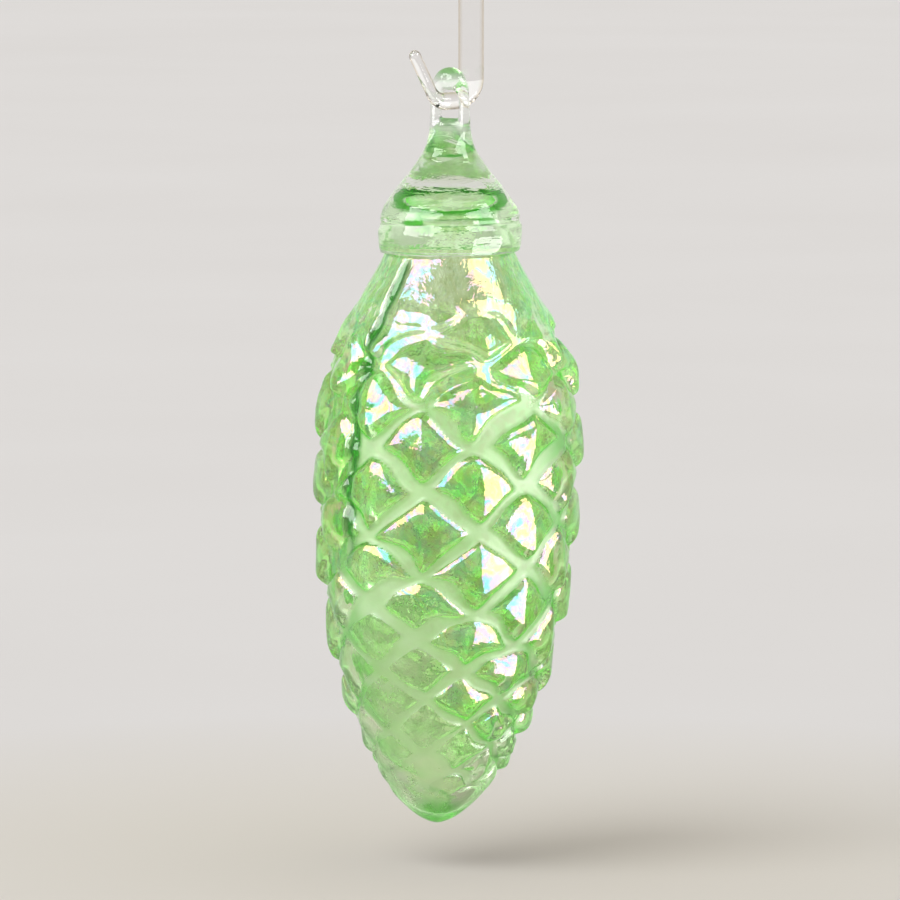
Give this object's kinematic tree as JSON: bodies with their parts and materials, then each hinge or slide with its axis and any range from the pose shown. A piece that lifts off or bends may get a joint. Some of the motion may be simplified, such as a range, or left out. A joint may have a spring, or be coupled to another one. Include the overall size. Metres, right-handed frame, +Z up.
{
  "type": "pinecone ornament",
  "caption": "Hollow blown-glass pinecone with rows of faceted scales, a clear glass cap and a hanging loop, swinging freely from a clear glass hook.",
  "frame": {"origin": "middle of the seat inside the hook's upper crook, where the ornament is hung up", "axes": "+Z up; the hook lies in the XZ plane with its shank on the +X side and its mouth towards -X; the ornament swings about X"},
  "size_m": [0.0496, 0.0507, 0.1712],
  "materials": {
    "green_glass": "mould-blown green glass with an iridescent surface",
    "clear_glass": "solid clear glass, fire-polished",
    "loop_glass": "drawn clear glass with a faint green tint, fire-polished",
    "hook_glass": "clear glass rod, fire-polished tips"
  },
  "bodies": {
    "hook": {"hanger_hook": "hook_glass"},
    "ornament": {"cone_body": "green_glass", "neck_cap": "clear_glass", "hanging_loop": "loop_glass"}
  },
  "joints": [
    {"name": "ornament_swing", "type": "hinge", "parent": "hook", "child": "ornament", "pos_m": [0, 0, -0.0344], "axis": [1, 0, 0], "range_deg": [-90, 90]}
  ]
}
